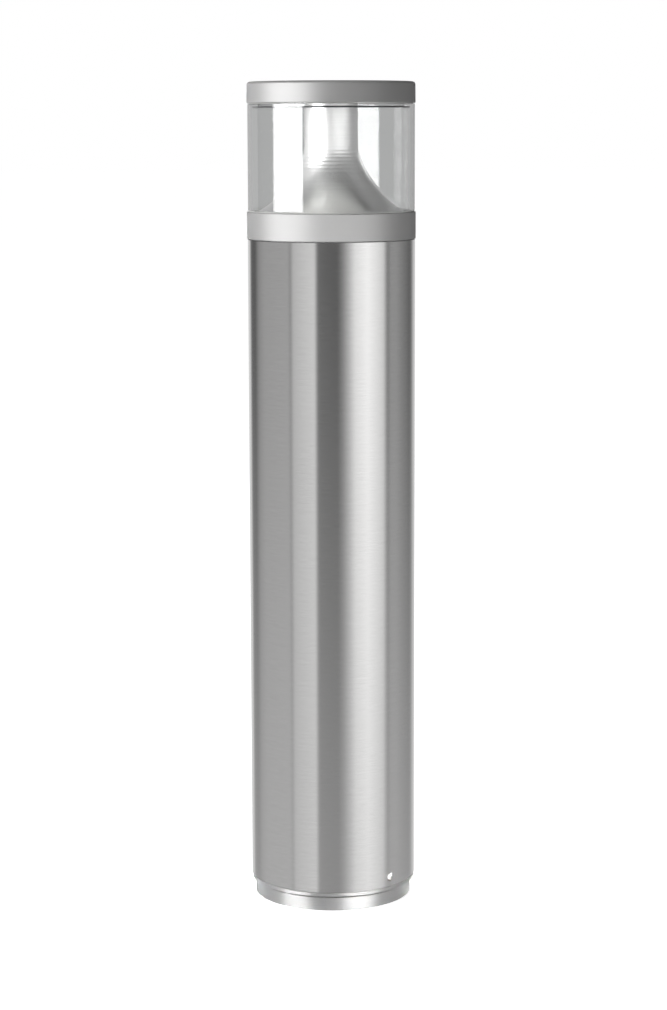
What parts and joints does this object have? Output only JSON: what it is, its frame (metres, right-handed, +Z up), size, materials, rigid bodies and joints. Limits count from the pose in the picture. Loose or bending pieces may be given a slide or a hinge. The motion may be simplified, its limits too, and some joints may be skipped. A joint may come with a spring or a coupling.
{
  "type": "bollard light",
  "caption": "Round bollard light: stainless post on a cast foot, clear cylinder head with a trumpet reflector under a flat cap, gear tray inside.",
  "frame": {"origin": "centre of the foot's underside, on the ground", "axes": "+Z up along the post's axis; -Y is the front, +X is to the right seen from the front"},
  "size_m": [0.161, 0.161, 0.7895],
  "materials": {
    "brushed_steel": "stainless steel, fine brushing round the tube",
    "silver_paint": "fine silver powder paint, satin",
    "cast_aluminium": "cast and turned, satin",
    "spun_aluminium": "spun, satin, faint rings",
    "zinc_steel": "zinc plated sheet and turned steel",
    "screw_steel": "plain stainless screws",
    "brass": "turned",
    "black_plastic": "moulded",
    "grey_plastic": "moulded",
    "white_plastic": "moulded",
    "black_rubber": "moulded and extruded",
    "clear_seal": "translucent grey silicone",
    "led_board": "white solder resist",
    "earth_wire": "green and yellow sleeve",
    "clear_acrylic": "clear, polished"
  },
  "bodies": {
    "foot": {"base_casting": "cast_aluminium", "cable_grommet": "black_rubber", "gear_tray": "zinc_steel", "tray_screw_left": "screw_steel", "tray_screw_right": "screw_steel", "junction_box": "grey_plastic", "junction_box_lid": "grey_plastic", "lid_screw_1": "screw_steel", "lid_screw_2": "screw_steel", "terminal_block": "white_plastic", "inlet_gland": "black_plastic", "outlet_gland": "black_plastic", "supply_cable": "black_rubber", "driver_lead": "black_rubber", "led_driver": "white_plastic", "driver_screw_1": "screw_steel", "driver_screw_2": "screw_steel", "output_lead": "black_rubber", "gear_socket": "black_plastic", "surge_protector": "black_plastic", "earth_screw": "brass", "earth_wire": "earth_wire"},
    "post": {"post_tube": "brushed_steel", "post_top_ring": "zinc_steel", "thread_boss_1": "zinc_steel", "thread_boss_2": "zinc_steel"},
    "set_screw_1": {"retaining_screw_1": "screw_steel"},
    "set_screw_2": {"retaining_screw_2": "screw_steel"},
    "head": {"collar": "silver_paint", "collar_screw_1": "screw_steel", "collar_screw_2": "screw_steel", "collar_screw_3": "screw_steel", "lower_gasket": "clear_seal", "clear_cylinder": "clear_acrylic", "upper_gasket": "clear_seal", "reflector": "spun_aluminium", "centre_tube": "zinc_steel", "upper_centre_nut": "brass", "centre_washer": "screw_steel", "lower_centre_nut": "brass", "lead_grommet": "black_rubber", "head_lead": "black_rubber", "head_plug": "black_plastic", "led_socket": "white_plastic"},
    "cap": {"cap": "silver_paint", "cap_screw_1": "screw_steel", "cap_screw_2": "screw_steel", "cap_screw_3": "screw_steel", "led_carrier": "cast_aluminium", "carrier_screw_1": "screw_steel", "carrier_screw_2": "screw_steel", "carrier_screw_3": "screw_steel", "led_board": "led_board", "led_cover": "clear_acrylic", "cover_frame": "black_plastic", "led_lead": "white_plastic", "led_plug": "white_plastic"}
  },
  "joints": [
    {"name": "post_lift", "type": "slide", "parent": "foot", "child": "post", "axis": [0, 0, 1], "range_m": [0, 0.45]},
    {"name": "retaining_screw_1_out", "type": "slide", "parent": "post", "child": "set_screw_1", "axis": [0.6884, -0.7254, 0], "range_m": [0, 0.004]},
    {"name": "retaining_screw_2_out", "type": "slide", "parent": "post", "child": "set_screw_2", "axis": [-0.6884, 0.7254, 0], "range_m": [0, 0.004]},
    {"name": "head_lift", "type": "slide", "parent": "post", "child": "head", "axis": [0, 0, 1], "range_m": [0, 0.25]},
    {"name": "cap_lift", "type": "slide", "parent": "head", "child": "cap", "axis": [0, 0, 1], "range_m": [0, 0.06]}
  ]
}
